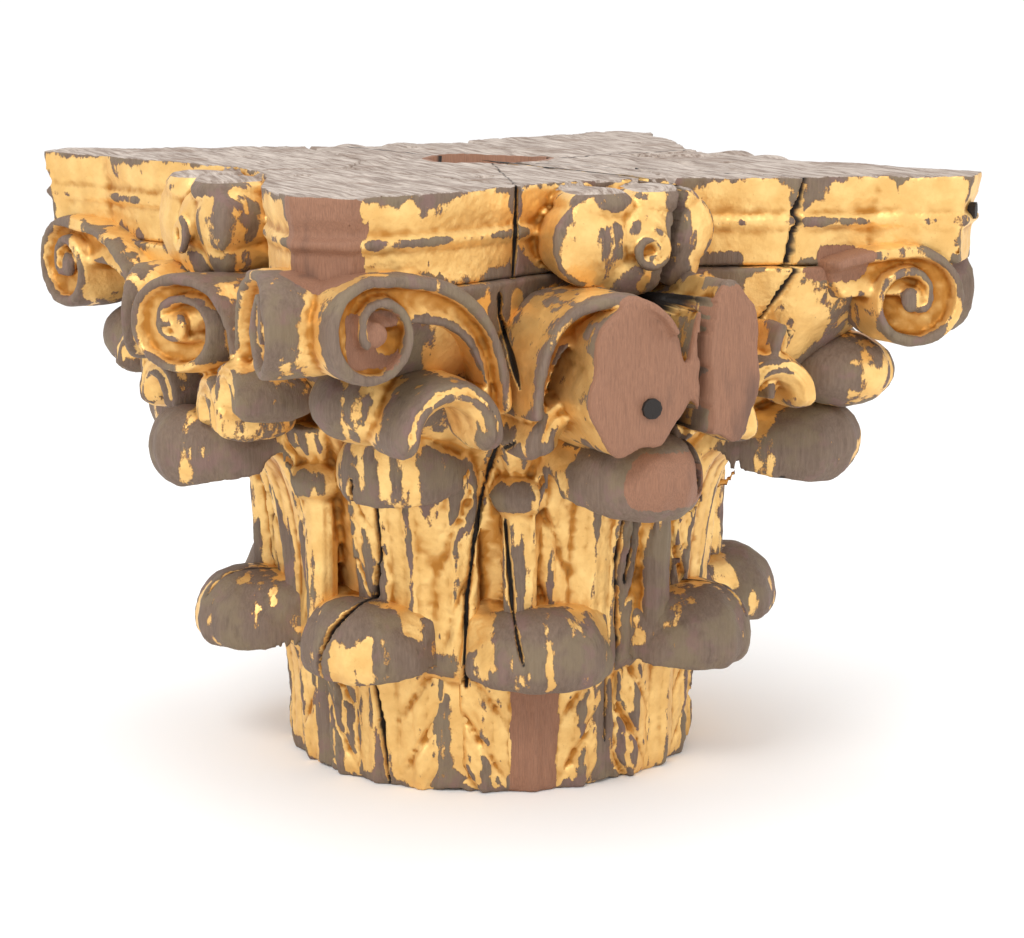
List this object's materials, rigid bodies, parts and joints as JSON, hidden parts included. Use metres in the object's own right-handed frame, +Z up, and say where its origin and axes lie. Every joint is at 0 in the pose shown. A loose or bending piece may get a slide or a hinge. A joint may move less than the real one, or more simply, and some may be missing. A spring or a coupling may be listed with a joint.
{
  "type": "corinthian capital",
  "caption": "Carved and gilded wooden column capital with two rows of acanthus leaves, corner volutes, inner helices and a moulded abacus with a central mortise.",
  "frame": {"origin": "centre of the round underside of the bell", "axes": "+Z up through the middle of the capital, -Y out of the main front, +X to that front's right"},
  "size_m": [0.5682, 0.5878, 0.44],
  "materials": {
    "gilded_wood": "old burnished leaf gold on wood, worn through to red-brown ground and bare wood",
    "bare_wood": "bare weathered wood"
  },
  "bodies": {
    "root": {"bell": "gilded_wood", "abacus": "gilded_wood", "helix_peg": "bare_wood", "horn_peg": "bare_wood"}
  },
  "joints": []
}
